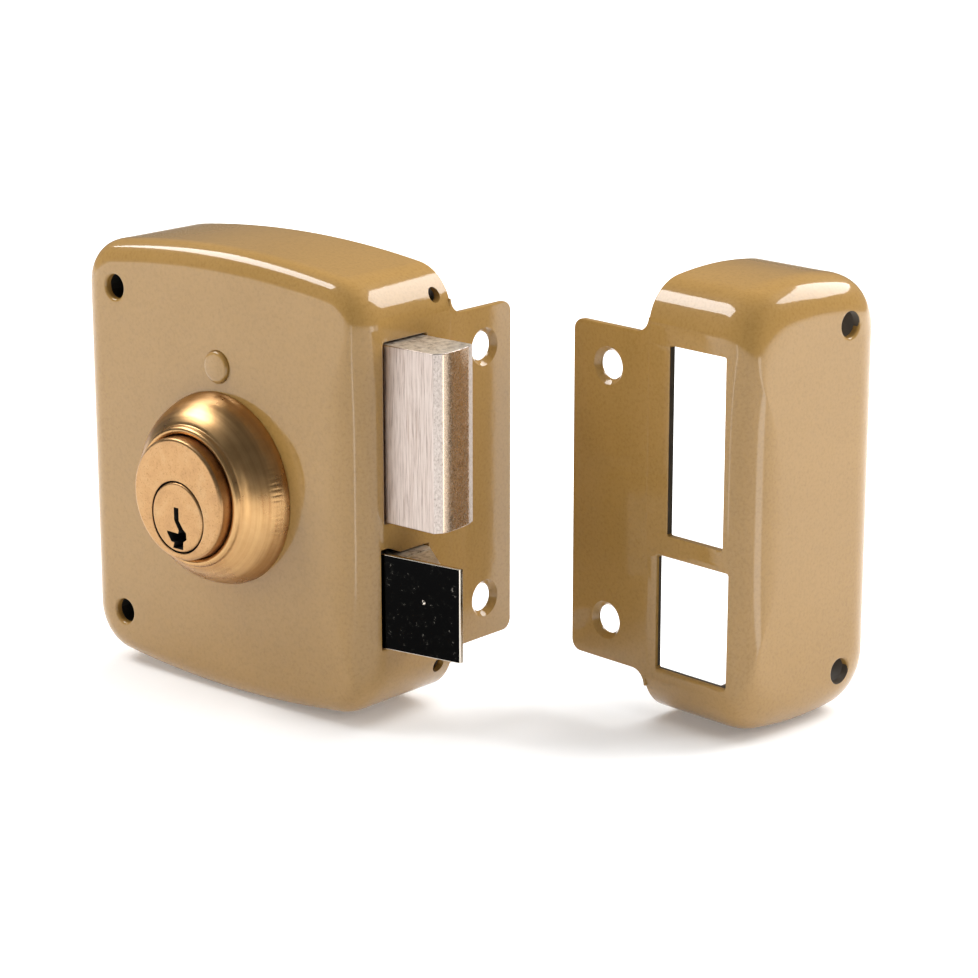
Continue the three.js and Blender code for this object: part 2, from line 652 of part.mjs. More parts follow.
// Flat lever hanging from its pivot, drawn upright about the pivot and turned to its rest angle.
function latchLever() {
  const { width, back, thick } = LEVER;
  const reach = leverLength();
  const half = width / 2;
  const shape = new THREE.Shape();
  shape.absarc(0, 0, half + 0.5, 0, Math.PI, false);
  shape.absarc(0, -reach, half, Math.PI, 2 * Math.PI, false);
  const plate = plateY(shape, back - thick, back);
  return cut(plate, rodY(0, 0, 2.65, back - 4, back + 2), rodY(0, -reach, 1.8, back - 4, back + 2));
}

function leverPin() {
  return rodY(0, -leverLength(), 1.5, LATCH_TAIL.back - LATCH_TAIL.thick - 0.6, LEVER.back - 0.1, 16);
}

// ---------------------------------------------------------------- keep

const KEEP_BOLT_WINDOW = { y0: -21.1, y1: -6.1, z0: 40.3, z1: 79.8 };
const KEEP_LATCH_WINDOW = { y0: -22.4, y1: -3.4, z0: 11.5, z1: 35.6 };
const KEEP_FACE_HOLE = { x: 30.3, middle: 46.2, spacing: 36.7 };

// Built as the mirror image of a lock-side box, so its box lies at +X.
function keepShell() {
  const window = ({ y0, y1, z0, z1 }) => wallWindow(y0, y1, z0, z1);
  const { x, middle, spacing } = KEEP_FACE_HOLE;
  const holes = faceHoles(-x, middle, spacing, KEEP.depth);
  return mirrorX(cut(flangedBox(KEEP, FLANGE.keep, FLANGE_HOLE.keepY),
    window(KEEP_BOLT_WINDOW), window(KEEP_LATCH_WINDOW), ...holes));
}

// ---------------------------------------------------------------- assembly

const lock = new THREE.Group();
const keep = new THREE.Group();

function add(group, name, geometry, material, place) {
  const mesh = new THREE.Mesh(geometry, material);
  mesh.name = name;
  if (place) {
    mesh.position.set(place.x, 0, place.z);
    mesh.rotation.y = place.turn;
  }
  group.add(mesh);
}

add(lock, 'case_cover', caseCover(), enamel());
add(lock, 'back_plate', backPlate(), zinc());
add(lock, 'screw_sleeve_upper', screwSleeve(1), zinc());
add(lock, 'screw_sleeve_lower', screwSleeve(-1), zinc());
add(lock, 'front_pillar', pillar(), enamel());
add(lock, 'pillar_screw', pillarScrew(), zinc());
add(lock, 'bolt_guide_upper', guideBlock(BOLT.high + GUIDE_GAP, GUIDE.top), zinc());
add(lock, 'bolt_guide_middle', guideBlock(LATCH.high + GUIDE_GAP, BOLT.low - GUIDE_GAP), zinc());
add(lock, 'bolt_guide_lower', guideBlock(GUIDE.bottom, LATCH.low - GUIDE_GAP), zinc());
add(lock, 'lever_post', rivetedPost(LEVER.x, LEVER.z, 2.4, -12), zinc());
add(lock, 'gear_axle', gearAxle(), zinc());
add(lock, 'spring_seat', springSeat(), zinc());

add(lock, 'cylinder_rosette', rosette(), brass());
add(lock, 'cylinder_body', cylinderBody(), brass());
for (const [side, sign] of [['left', -1], ['right', 1]]) {
  add(lock, `cylinder_stud_${side}`, weldStud(sign), zinc());
  add(lock, `cylinder_nut_${side}`, nut(sign), zinc());
}
add(lock, 'cylinder_plug', cylinderPlug(), brass());
add(lock, 'plug_retaining_clip', retainingClip(), springSteel());
add(lock, 'plug_pinion', plugPinion(), zinc());
CHAMBERS.forEach((y, i) => {
  add(lock, `key_pin_${i + 1}`, keyPin(y), brass());
  add(lock, `driver_pin_${i + 1}`, driverPin(y), brass());
  add(lock, `pin_spring_${i + 1}`, pinSpring(y), springSteel());
});
add(lock, 'reduction_gear', reductionGear(), zinc());

add(lock, 'dead_bolt_head', deadBoltHead(), nickel());
add(lock, 'dead_bolt_tail', boltTailPlate(), zinc());
add(lock, 'tail_rivet_lower', tailRivet(RIVET.z[0]), zinc());
add(lock, 'tail_rivet_upper', tailRivet(RIVET.z[1]), zinc());

add(lock, 'latch_head', latchHead(), nickel());
add(lock, 'latch_face_plate', latchFacePlate(), mirror());
add(lock, 'latch_tail', latchTail(), zinc());
add(lock, 'latch_spring', latchSpring(), springSteel());
const leverRest = { x: LEVER.x, z: LEVER.z, turn: -Math.atan2(LATCH.travel / 2, LEVER.z - LEVER.pinZ) };
add(lock, 'latch_lever', latchLever(), zinc(), leverRest);
add(lock, 'lever_pin', leverPin(), zinc(), leverRest);

add(keep, 'keep_shell', keepShell(), enamel());
keep.position.set(KEEP_PLACE.x, KEEP_PLACE.y, 0);
keep.rotation.z = THREE.MathUtils.degToRad(KEEP_PLACE.turn);

const nightLatch = new THREE.Group();
nightLatch.add(lock, keep);
nightLatch.updateMatrixWorld(true);
const bounds = new THREE.Box3().setFromObject(nightLatch, true);
const centre = bounds.getCenter(new THREE.Vector3());
nightLatch.position.set(-centre.x, -centre.y, -bounds.min.z);
nightLatch.updateMatrixWorld(true);

export default nightLatch;
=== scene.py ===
import json
import math

import bmesh
import bpy
import numpy as np
from mathutils import Matrix, Vector


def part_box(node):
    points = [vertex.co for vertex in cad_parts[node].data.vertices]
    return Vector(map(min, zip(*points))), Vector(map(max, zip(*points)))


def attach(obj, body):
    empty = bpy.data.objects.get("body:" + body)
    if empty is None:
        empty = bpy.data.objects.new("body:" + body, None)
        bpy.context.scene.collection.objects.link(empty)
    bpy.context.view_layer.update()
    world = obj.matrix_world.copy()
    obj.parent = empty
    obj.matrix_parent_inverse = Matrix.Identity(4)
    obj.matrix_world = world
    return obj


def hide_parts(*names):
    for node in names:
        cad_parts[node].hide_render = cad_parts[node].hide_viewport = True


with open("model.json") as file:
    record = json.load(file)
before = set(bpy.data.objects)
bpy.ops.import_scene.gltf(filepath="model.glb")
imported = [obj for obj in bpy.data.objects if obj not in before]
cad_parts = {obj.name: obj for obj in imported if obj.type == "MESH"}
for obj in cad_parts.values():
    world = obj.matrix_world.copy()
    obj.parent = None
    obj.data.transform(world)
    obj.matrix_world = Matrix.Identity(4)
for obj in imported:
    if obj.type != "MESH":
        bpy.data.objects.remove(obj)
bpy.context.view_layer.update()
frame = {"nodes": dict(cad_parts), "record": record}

# ---------------------------------------------------------------- units and local frames

MM = 0.001
SHEET = 1.5
FOOT = -0.4                          # lowest point of both boxes, in their own frames
CORNER_RADIUS = 10.0
BOLT_EDGE_DEPTH = 8.0                # depth of the softer edge on the bolt side
DISH_MIDDLE, DISH_HALF = 11.4, 34.0  # its width at mid height, and how far up and down that holds
EDGE_POWER = 0.78                    # below 1 the rounded edge runs out softly into both faces

# Flat face of each box: how far its rounded edge reaches in at the top (rise), on the plain side
# (roll) and at the ends of the bolt side (end), with the corner radii of the flat face.
LOCK = dict(width=81.6, top=95.4, depth=27.25, arch=240.0, middle=47.5,
            rise=5.6, roll=5.6, end=3.0, near=7.0, far=5.5)
KEEP = dict(width=41.0, top=93.3, depth=27.45, arch=80.0, middle=45.75,
            rise=9.4, roll=7.8, end=3.6, near=13.0, far=8.0)
RIM_GAP = 0.002                      # keeps the outlines a hair inside the CAD's
FLANGE = dict(half=35.8, lock=18.6, keep=20.8, corner=2.4, fillet=3.2, root=-0.6, rim=0.3)
FLANGE_HOLE = dict(spacing=27.2, lock=10.2, keep=10.9)
FACE_HOLE = dict(lock_x=-71.5, lock_spacing=36.0, keep_x=30.3, keep_middle=46.2, keep_spacing=36.7)
EAR_Y, EAR_Z = -4.15, (8.9, 87.7)    # small holes of the bolt side, near its lower and upper end

cover_low, cover_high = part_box("case_cover")
LOCK_FRAME = (Matrix.Translation((cover_high.x, cover_low.y + LOCK["depth"] * MM,
                                  cover_low.z - FOOT * MM))
              @ Matrix.Scale(MM, 4))
keep_mount = next(m for m in frame["record"]["mounts"] if m["name"] == "keep_flange")
KEEP_TURN = math.atan2(keep_mount["axis"][1], keep_mount["axis"][0])
KEEP_FRAME = (Matrix.Translation(keep_mount["pos_m"]) @ Matrix.Rotation(KEEP_TURN, 4, "Z")
              @ Matrix.Scale(MM, 4) @ Matrix.Translation((-SHEET, -10.5, -46.2)))

FORWARD, BACKWARD = (0, -1, 0), (0, 1, 0)
CYL_X, CYL_Z, PLUG_Z = -40.6, 44.9, 41.1     # axis of the cylinder, and height of the plug's axis
FACE_Y = -LOCK["depth"] - 12.4               # front of the cylinder
COVER_BORE, ROSETTE_BORE, NOSE_RADIUS = 13.3, 13.12, 12.95
PLUG_BORE, PLUG_RADIUS = 7.7, 7.37
PILLAR_Z, PILLAR_RADIUS = 70.8, 3.3
POSTS = ((CYL_X, PLUG_Z + 11.937), (-62.0, 84.0))    # gear axle and lever post
BOLT = dict(front=-20.1, back=-7.87, low=43.4, high=80.2, proud=14.2, rear=-24.5, end=(-18.4, -9.9))
BOLT_WINDOW = dict(gap=0.4, top_gap=0.45, corner=0.5)
LATCH = dict(front=-21.05, back=-8.0, low=16.9, high=37.0, proud=18.0, tip=-18.0, thick=1.0)
WEDGE = dict(low=17.2, high=36.0)
LATCH_WINDOW = dict(front_gap=0.45, back_gap=0.8, gap=0.3, plate_gap=0.8, step=(-19.4, -15.9))
KEEP_WINDOWS = dict(bolt=(-21.1, -6.1, 40.3, 79.8), latch=(-22.4, -3.4, 11.5, 35.6), corner=0.35)

# ---------------------------------------------------------------- mesh helpers


def mesh_object(name, points, faces, place):
    """A mesh object from points in a local millimetre frame, baked into the row frame."""
    mesh = bpy.data.meshes.new(name)
    mesh.from_pydata([tuple(p) for p in points], [], [tuple(f) for f in faces])
    mesh.transform(place)
    mesh.validate()
    obj = bpy.data.objects.new(name, mesh)
    bpy.context.scene.collection.objects.link(obj)
    return obj


def ring_solid(name, rings, place):
    """A solid whose rings of points run from one end to the other."""
    count = len(rings[0])
    points = [p for ring in rings for p in ring]
    faces = []
    for r in range(len(rings) - 1):
        for i in range(count):
            a, b = r * count + i, r * count + (i + 1) % count
            faces.append((a, b, b + count, a + count))
    faces.append(tuple(reversed(range(count))))
    faces.append(tuple(range((len(rings) - 1) * count, len(rings) * count)))
    obj = mesh_object(name, points, faces, place)
    recalculate(obj)
    return obj


def lathe(name, profile, x, z, place, steps=128, wave=None):
    """A turned piece about a line parallel to Y. Profile is (radius, y) from axis to axis or a loop."""
    loop = profile[0] == profile[-1]
    rows = profile[:-1] if loop else profile
    points, faces, index = [], [], []
    for radius, y in rows:
        if radius < 1e-6:
            index.append([len(points)] * steps)
            points.append((x, y, z))
            continue
        index.append(list(range(len(points), len(points) + steps)))
        for i in range(steps):
            a = 2 * math.pi * i / steps
            dr, dy = wave(radius, y, a) if wave else (0.0, 0.0)
            points.append((x + (radius + dr) * math.cos(a), y + dy, z + (radius + dr) * math.sin(a)))
    pairs = list(zip(index, index[1:])) + ([(index[-1], index[0])] if loop else [])
    for low, high in pairs:
        for i in range(steps):
            j = (i + 1) % steps
            quad = [low[i], low[j], high[j], high[i]]
            face = [v for k, v in enumerate(quad) if v != quad[k - 1]]
            if len(face) > 2:
                faces.append(face)
    obj = mesh_object(name, points, faces, place)
    recalculate(obj)
    return obj


def recalculate(obj):
    """Joins doubled points and turns every face outward."""
    mesh = bmesh.new()
    mesh.from_mesh(obj.data)
    bmesh.ops.remove_doubles(mesh, verts=mesh.verts, dist=1e-8)
    bmesh.ops.recalc_face_normals(mesh, faces=mesh.faces)
    mesh.to_mesh(obj.data)
    mesh.free()


def apply_modifier(obj, kind, **settings):
    """Adds one modifier with its settings and makes its result the object's mesh."""
    modifier = obj.modifiers.new(kind.lower(), kind)
    for key, value in settings.items():
        setattr(modifier, key, value)
    bpy.context.view_layer.objects.active = obj
    bpy.ops.object.modifier_apply(modifier=modifier.name)


def boolean(obj, operation, *tools):
    """Joins each tool to the object or cuts it out, and deletes the tool."""
    for tool in tools:
        apply_modifier(obj, "BOOLEAN", operation=operation, object=tool, solver="MANIFOLD")
        bpy.data.objects.remove(tool)


def prism(name, outline, axis, low, high, place, bevel=0.0, segments=2):
    """An outline extruded along an axis, with all its rim edges rounded.

    axis "x" takes (y, z) points, "y" takes (x, z) and "z" takes (x, y)."""
    order = {"x": lambda u, v, w: (w, u, v),
             "y": lambda u, v, w: (u, w, v),
             "z": lambda u, v, w: (u, v, w)}
    rings = [[order[axis](u, v, w) for u, v in outline] for w in (low, high)]
    obj = ring_solid(name, rings, Matrix.Identity(4))
    if bevel:
        mesh = bmesh.new()
        mesh.from_mesh(obj.data)
        sharp = [e for e in mesh.edges if e.calc_face_angle(0) > math.radians(28)]
        bmesh.ops.bevel(mesh, geom=sharp, offset=bevel, segments=segments, profile=0.5,
                        affect="EDGES", clamp_overlap=True)
        mesh.to_mesh(obj.data)
        mesh.free()
    obj.data.transform(place)
    return obj


def box(name, x0, x1, y0, y1, z0, z1, place, bevel=0.0):
    """A block between three pairs of limits."""
    return prism(name, [(x0, y0), (x1, y0), (x1, y1), (x0, y1)], "z", z0, z1, place, bevel)


def smooth(obj, angle=32):
    """Smooth shading with crisp edges above the angle, and flat faces kept flat."""
    mesh = obj.data
    mesh.polygons.foreach_set("use_smooth", [True] * len(mesh.polygons))
    mesh.set_sharp_from_angle(angle=math.radians(angle))
    apply_modifier(obj, "WEIGHTED_NORMAL", keep_sharp=True, weight=80)


def finish_piece(obj, body, material, replaces=(), angle=32):
    smooth(obj, angle)
    obj.data.materials.clear()
    obj.data.materials.append(material)
    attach(obj, body)
    if replaces:
        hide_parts(*replaces)
    return obj


# ---------------------------------------------------------------- materials


class Nodes:
    """A short way to build one node-based material on a Principled shader."""

    def __init__(self, name, **sockets):
        self.material = bpy.data.materials.new(name)
        self.material.use_nodes = True
        self.tree = self.material.node_tree
        self.shader = self.tree.nodes["Principled BSDF"]
        for key, value in sockets.items():
            self.shader.inputs[key.replace("_", " ")].default_value = value
        self.coords = self.add("ShaderNodeTexCoord").outputs["Object"]

    def add(self, kind, inputs=None, **settings):
        node = self.tree.nodes.new(kind)
        for key, value in settings.items():
            setattr(node, key, value)
        for key, value in (inputs or {}).items():
            if isinstance(value, bpy.types.NodeSocket):
                self.tree.links.new(value, node.inputs[key])
            else:
                node.inputs[key].default_value = value
        return node

    def noise(self, scale, detail=3.0, roughness=0.55, stretch=None):
        vector = self.coords
        if stretch:
            vector = self.add("ShaderNodeMapping",
                              {"Vector": self.coords, "Scale": stretch}).outputs["Vector"]
        return self.add("ShaderNodeTexNoise", {"Vector": vector, "Scale": scale, "Detail": detail,
                                               "Roughness": roughness}).outputs["Fac"]

    def ramp(self, value, stops):
        node = self.add("ShaderNodeValToRGB", {"Fac": value})
        elements = node.color_ramp.elements
        while len(elements) < len(stops):
            elements.new(0.5)
        for element, (position, colour) in zip(elements, stops):
            element.position = position
            element.color = (*colour, 1) if len(colour) == 3 else colour
        return node.outputs["Color"]

    def grey(self, value, low, high, low_at=0.3, high_at=0.7):
        return self.add("ShaderNodeMapRange", {"Value": value, "From Min": low_at, "From Max": high_at,
                                               "To Min": low, "To Max": high}).outputs["Result"]

    def mix(self, factor, a, b, mode="MIX"):
        node = self.add("ShaderNodeMix", data_type="RGBA", blend_type=mode)
        for index, value in ((0, factor), (6, a), (7, b)):
            if isinstance(value, bpy.types.NodeSocket):
                self.tree.links.new(value, node.inputs[index])
            else:
                node.inputs[index].default_value = value
        return node.outputs[2]

    def bump(self, height, strength, distance, normal=None):
        inputs = {"Height": height, "Strength": strength, "Distance": distance}
        if normal:
            inputs["Normal"] = normal
        return self.add("ShaderNodeBump", inputs).outputs["Normal"]

    def set(self, **links):
        for key, value in links.items():
            self.tree.links.new(value, self.shader.inputs[key.replace("_", " ")])
        return self.material


def enamel_material():
    n = Nodes("gold_beige_enamel", Metallic=0.0, Coat_Weight=1.0, Coat_Roughness=0.07, Coat_IOR=1.5)
    n.shader.inputs["Specular IOR Level"].default_value = 0.1
    clouds = n.noise(38, 4)
    grain = n.noise(1500, 3)
    tone = n.ramp(clouds, [(0.3, (0.345, 0.196, 0.053)), (0.7, (0.372, 0.214, 0.062))])
    speck = n.ramp(grain, [(0.28, (0.88, 0.87, 0.84)), (0.5, (1, 1, 1)), (0.75, (1.06, 1.06, 1.08))])
    colour = n.mix(1.0, tone, speck, "MULTIPLY")
    normal = n.bump(n.noise(420, 2), 0.03, 0.0003)
    return n.set(Base_Color=colour, Roughness=n.grey(clouds, 0.36, 0.46), Coat_Normal=normal,
                 Normal=normal)


def brass_material():
    n = Nodes("turned_brass", Metallic=1.0)
    patina = n.noise(120, 5, 0.62)
    streak = n.noise(30, 3, 0.5, (1, 40, 1))
    tone = n.ramp(patina,
                  [(0.25, (0.36, 0.19, 0.075)), (0.5, (0.53, 0.31, 0.125)), (0.8, (0.66, 0.41, 0.19))])
    colour = n.mix(0.35, tone, n.ramp(streak, [(0.35, (0.40, 0.21, 0.09)), (0.65, (0.68, 0.44, 0.21))]))
    normal = n.bump(n.noise(900, 3, 0.6, (1, 6, 1)), 0.12, 0.0001)
    return n.set(Base_Color=colour, Roughness=n.grey(patina, 0.24, 0.36), Normal=normal)


def face_brass_material():
    n = Nodes("brass_face", Metallic=1.0)
    patina = n.noise(220, 6, 0.65)
    tone = n.ramp(patina,
                  [(0.28, (0.39, 0.22, 0.10)), (0.5, (0.50, 0.29, 0.13)), (0.75, (0.57, 0.36, 0.18))])
    pits = n.noise(2400, 3, 0.7)
    speck = n.ramp(pits, [(0.3, (0.7, 0.66, 0.6)), (0.45, (1, 1, 1))])
    colour = n.mix(1.0, tone, speck, "MULTIPLY")
    return n.set(Base_Color=colour, Roughness=n.grey(patina, 0.30, 0.42),
                 Normal=n.bump(pits, 0.16, 0.0001))


def brushed_nickel_material():
    n = Nodes("brushed_nickel", Metallic=1.0)
    brushing = n.noise(1, 4, 0.65, (3600, 3600, 150))
    scratches = n.noise(1, 3, 0.7, (1300, 1300, 40))
    tone = n.ramp(brushing,
                  [(0.28, (0.30, 0.24, 0.21)), (0.48, (0.56, 0.47, 0.42)), (0.72, (0.68, 0.60, 0.55))])
    lines = n.ramp(scratches, [(0.3, (0.66, 0.60, 0.56)), (0.46, (1, 1, 1))])
    colour = n.mix(0.8, tone, lines, "MULTIPLY")
    return n.set(Base_Color=colour, Roughness=n.grey(scratches, 0.30, 0.42),
                 Normal=n.bump(brushing, 0.4, 0.00012))


def end_nickel_material():
    n = Nodes("smooth_nickel", Metallic=1.0)
    grain = n.noise(1, 4, 0.7, (2600, 2600, 1500))
    tone = n.ramp(grain,
                  [(0.3, (0.60, 0.46, 0.33)), (0.62, (0.68, 0.53, 0.40)), (0.72, (0.95, 0.88, 0.80))])
    return n.set(Base_Color=tone, Roughness=n.grey(grain, 0.22, 0.32),
                 Normal=n.bump(grain, 0.12, 0.0001))


def coarse_nickel_material():
    n = Nodes("ground_nickel", Metallic=1.0)
    grain = n.noise(1, 4, 0.72, (2600, 2600, 1600))
    tone = n.ramp(grain,
                  [(0.30, (0.34, 0.28, 0.24)), (0.46, (0.58, 0.50, 0.45)), (0.7, (0.74, 0.67, 0.62))])
    return n.set(Base_Color=tone, Roughness=n.grey(grain, 0.35, 0.5), Normal=n.bump(grain, 0.6, 0.0002))


def worn_nickel_material():
    n = Nodes("worn_nickel", Metallic=0.65)
    patches = n.noise(900, 5, 0.7)
    tone = n.ramp(patches,
                  [(0.36, (0.30, 0.24, 0.18)), (0.46, (0.60, 0.52, 0.42)), (0.62, (0.78, 0.70, 0.59))])
    return n.set(Base_Color=tone, Roughness=n.grey(patches, 0.28, 0.45),
                 Normal=n.bump(patches, 0.3, 0.0002))


# Painted reflection: the polished latch plate's colour is near black, standing in for the dark
# surroundings it mirrors; the light specks are dust.
def dust_and_painted_reflection_material():
    n = Nodes("dust_and_painted_dark_reflection", Metallic=1.0)
    dust = n.noise(700, 7, 0.8)
    haze = n.noise(90, 3)
    tone = n.ramp(dust, [(0.54, (0.003, 0.003, 0.003)), (0.63, (0.008, 0.008, 0.007)),
                         (0.70, (0.34, 0.31, 0.27))])
    return n.set(Base_Color=tone, Roughness=n.grey(haze, 0.06, 0.14), Normal=n.bump(dust, 0.04, 0.0001))


# Painted highlight: a light nickel colour for the cut edges and the pimple of the latch plate, standing
# in for the glints on them.
def painted_highlight_material():
    n = Nodes("painted_highlight_nickel", Metallic=1.0)
    haze = n.noise(260, 4)
    tone = n.ramp(haze, [(0.3, (0.66, 0.58, 0.48)), (0.7, (0.80, 0.74, 0.65))])
    return n.set(Base_Color=tone, Roughness=n.grey(haze, 0.12, 0.24), Normal=n.bump(haze, 0.05, 0.0001))


def zinc_material():
    n = Nodes("zinc_plate", Metallic=1.0)
    cloud = n.noise(60, 5, 0.6)
    fine = n.noise(1600, 3)
    tone = n.ramp(cloud, [(0.3, (0.38, 0.40, 0.42)), (0.7, (0.52, 0.54, 0.56))])
    return n.set(Base_Color=tone, Roughness=n.grey(fine, 0.36, 0.52), Normal=n.bump(fine, 0.15, 0.0001))


def spring_material():
    n = Nodes("spring_steel", Metallic=1.0)
    fine = n.noise(900, 3)
    tone = n.ramp(fine, [(0.3, (0.20, 0.21, 0.23)), (0.7, (0.32, 0.33, 0.35))])
    return n.set(Base_Color=tone, Roughness=n.grey(fine, 0.25, 0.4))


# Dark brown-black colour given to the inner skin of the keep.
def inside_material():
    n = Nodes("dark_inner_skin", Metallic=0.0)
    fine = n.noise(300, 4)
    tone = n.ramp(fine, [(0.3, (0.045, 0.034, 0.022)), (0.7, (0.075, 0.056, 0.036))])
    return n.set(Base_Color=tone, Roughness=n.grey(fine, 0.5, 0.7))


# Painted shade: a near-black colour for the screw sleeves and for the deep bore and keyway of the
# cylinder, standing in for the shade inside them.
def painted_shade_material():
    n = Nodes("painted_shade_inside", Metallic=0.0)
    fine = n.noise(500, 3)
    tone = n.ramp(fine, [(0.3, (0.008, 0.007, 0.006)), (0.7, (0.016, 0.013, 0.010))])
    return n.set(Base_Color=tone, Roughness=n.grey(fine, 0.6, 0.8))


ENAMEL = enamel_material()
BRASS = brass_material()
FACE_BRASS = face_brass_material()
BRUSHED = brushed_nickel_material()
END = end_nickel_material()
GROUND = coarse_nickel_material()
WORN = worn_nickel_material()
DUST_AND_PAINTED_REFLECTION = dust_and_painted_reflection_material()
PAINTED_HIGHLIGHT = painted_highlight_material()
ZINC = zinc_material()
SPRING = spring_material()
INSIDE = inside_material()
PAINTED_SHADE = painted_shade_material()
SLOT_MATERIALS = {"enamel": ENAMEL, "brass": BRASS, "bolt_nickel": BRUSHED, "mirror_nickel": DUST_AND_PAINTED_REFLECTION,
                  "zinc_steel": ZINC, "spring_steel": SPRING}

for part in frame["record"]["subparts"]:
    node = frame["nodes"][part["node"]]
    node.data.materials.clear()
    # The screw sleeves get the painted shade material, near black, for the shade deep in the long screw
    # holes.
    sleeve_in_painted_shade = part["node"].startswith("screw_sleeve")
    node.data.materials.append(PAINTED_SHADE if sleeve_in_painted_shade else SLOT_MATERIALS[part["material_slot"]])


def repaint(obj, material, place, test):
    """Gives a second material to the faces whose local centre and normal pass the test."""
    inverse = place.inverted()
    turn = inverse.to_3x3().normalized()
    obj.data.materials.append(material)
    index = len(obj.data.materials) - 1
    for face in obj.data.polygons:
        if test(inverse @ face.center, turn @ face.normal):
            face.material_index = index


# ---------------------------------------------------------------- drawn steel boxes


def quarter(half_w, half_h, arch, corner, steps=(24, 18, 22)):
    """Outline from the middle of a side round the corner to the middle of the top.

    Each point is (x, z, nx, nz, side), with side 1 on the straight side and 0 along the top."""
    side_steps, corner_steps, arch_steps = steps
    arch_z = half_h - arch
    reach = arch - corner
    corner_x = half_w - corner
    corner_z = arch_z + math.sqrt(reach ** 2 - corner_x ** 2)
    arch_angle = math.asin(corner_x / reach)
    points = [(half_w, corner_z * i / side_steps, 1.0, 0.0, 1.0) for i in range(side_steps)]
    for i in range(corner_steps):
        share = i / corner_steps
        t = (math.pi / 2 - arch_angle) * share
        nx, nz = math.cos(t), math.sin(t)
        side = 1 - share * share * (3 - 2 * share)
        points.append((corner_x + corner * nx, corner_z + corner * nz, nx, nz, side))
    for i in range(arch_steps):
        t = arch_angle * (1 - i / arch_steps)
        nx, nz = math.sin(t), math.cos(t)
        points.append((arch * nx, arch_z + arch * nz, nx, nz, 0.0))
    return points + [(0.0, half_h, 0.0, 1.0, 0.0)]


def dish(mid, end):
    """How far the flat face stops short of the bolt side at a height above or below the middle."""
    return end + (DISH_MIDDLE - end) * math.exp(-(mid / DISH_HALF) ** 4)


def box_rings(size):
    """Outer outline with its normals, matching edge of the flat face, and depth of the rounded edge."""
    half_w, half_h = size["width"] / 2, (size["top"] - FOOT) / 2 - RIM_GAP
    rise, roll, end, arch = size["rise"], size["roll"], size["end"], size["arch"]
    outer = quarter(half_w, half_h, arch, CORNER_RADIUS)
    near = quarter(half_w - end, half_h - rise, arch - rise, size["near"])
    far = quarter(half_w - roll, half_h - rise, arch - rise, size["far"])
    upper = []
    for (x, z, nx, nz, side), (fx, fz, _, _, _) in zip(outer, near):
        depth = rise + (BOLT_EDGE_DEPTH - rise) * side
        upper.append((x, z, nx, nz, fx - (dish(z, end) - end) * side, fz, depth))
    for (x, z, nx, nz, side), (fx, fz, _, _, _) in list(zip(outer, far))[-2::-1]:
        upper.append((-x, z, -nx, nz, -fx, fz, rise + (roll - rise) * side))
    lower = [(x, -z, nx, -nz, fx, -fz, d) for x, z, nx, nz, fx, fz, d in reversed(upper[1:-1])]
    lift = (size["top"] + FOOT) / 2
    return [(x - half_w, z + lift, nx, nz, fx - half_w, fz + lift, d)
            for x, z, nx, nz, fx, fz, d in upper + lower]


def drawn_box(name, size, place, mirrored):
    """A thin box open at the back, from ring to ring: inner skin, back rim, outer skin."""
    loops = box_rings(size)
    steps = 20
    depth = size["depth"]

    def skin(inset):
        rings = []
        for i in range(steps + 1):
            turn = math.pi / 4 * (1 - math.cos(math.pi * i / steps))
            share = 1 - max(0.0, math.cos(turn)) ** EDGE_POWER
            fall = 1 - math.sin(turn) ** EDGE_POWER
            ring = []
            for x, z, nx, nz, fx, fz, edge in loops:
                ox, oz = x - nx * inset, z - nz * inset
                y = -depth + inset + (edge - inset) * fall
                ring.append((ox + (fx - ox) * share, y, oz + (fz - oz) * share))
            rings.append(ring)
        return rings

    def rim(inset, y):
        return [(x - nx * inset, y, z - nz * inset) for x, z, nx, nz, _, _, _ in loops]

    round_rim = [(SHEET, -0.4), (SHEET - 0.12, -0.12), (SHEET - 0.4, 0.0),
                 (0.4, 0.0), (0.12, -0.12), (0.0, -0.4)]
    rings = list(reversed(skin(SHEET))) + [rim(i, y) for i, y in round_rim] + skin(0.0)
    if mirrored:
        rings = [[(-x, y, z) for x, y, z in ring] for ring in rings]
    return ring_solid(name, rings, place)


def arc(cx, cy, radius, start, end, steps):
    """Points of a circular arc between two angles in degrees."""
    return [(cx + radius * math.cos(math.radians(start + (end - start) * i / steps)),
             cy + radius * math.sin(math.radians(start + (end - start) * i / steps)))
            for i in range(steps + 1)]


def flange_outline(length, middle):
    """The flange with rounded corners, and with fillets where it meets the wall."""
    half, corner, fillet, root = (FLANGE[k] for k in ("half", "corner", "fillet", "root"))
    return ([(root, middle - half - fillet)]
            + arc(fillet, middle - half - fillet, fillet, 180, 90, 8)
            + arc(length - corner, middle - half + corner, corner, -90, 0, 8)
            + arc(length - corner, middle + half - corner, corner, 0, 90, 8)
            + arc(fillet, middle + half + fillet, fillet, -90, -180, 8)
            + [(root, middle + half + fillet)])


def turned_solid(name, start, direction, profile, place, steps=64):
    """A solid turned about a line; profile points are (radius, distance along the line)."""
    start, turn = Vector(start), Vector(direction).to_track_quat("Z", "Y").to_matrix()
    angles = [2 * math.pi * i / steps for i in range(steps)]
    rings = [[tuple(start + turn @ Vector((r * math.cos(a), r * math.sin(a), w))) for a in angles]
             for r, w in profile]
    return ring_solid(name, rings, place)


def flared_hole(name, start, direction, radius, flare, depth, place, steps=64):
    """Tool for a round hole with a drawn-in edge: a bar that widens in a quarter round at its mouth."""
    profile = [(radius, -depth), (radius, -flare)]
    profile += [(radius + flare * (1 - math.cos(a)), -flare * (1 - math.sin(a)))
                for a in np.linspace(0, math.pi / 2 * 0.97, 7)[1:]]
    return turned_solid(name, start, direction, profile + [(profile[-1][0], 1.5)], place, steps)


